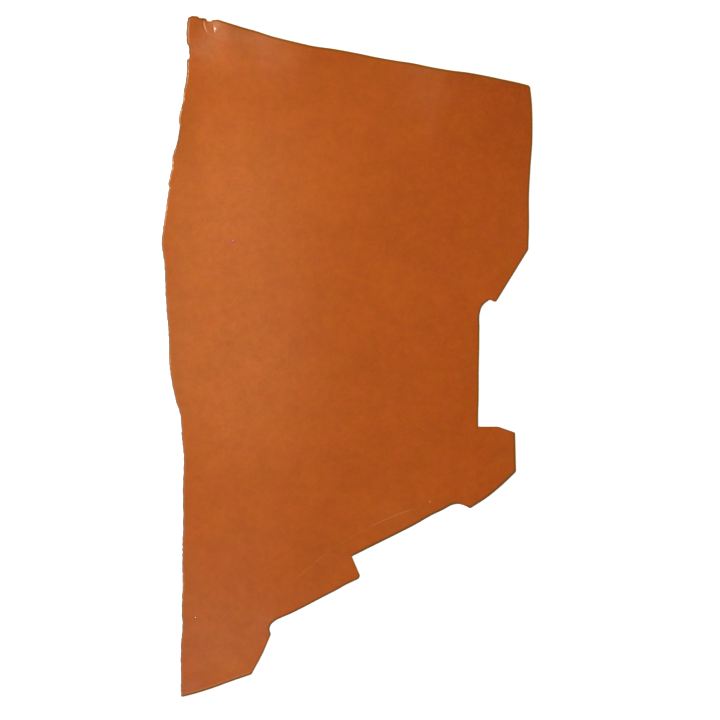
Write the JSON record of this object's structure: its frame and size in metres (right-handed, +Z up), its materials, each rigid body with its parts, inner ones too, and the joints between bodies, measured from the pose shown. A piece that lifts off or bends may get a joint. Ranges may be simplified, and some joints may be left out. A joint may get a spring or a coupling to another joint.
{
  "type": "leather hide",
  "caption": "Flat cut piece of smooth tan leather hide with one long natural edge, straight knife cuts, rounded scoops and a cut-away bay in its side.",
  "frame": {"origin": "middle of the outline's box, on the flat underside", "axes": "+Y along the length, towards the neck end with the torn corner; +Z up, out of the grain side; +X towards the cut side with the bay, away from the natural edge"},
  "size_m": [0.611, 1.1209, 0.0107],
  "materials": {
    "leather": "smooth semi-gloss tan grain, with a raw fibrous natural edge and dark knife-cut edges"
  },
  "bodies": {
    "root": {"hide": "leather"}
  },
  "joints": []
}
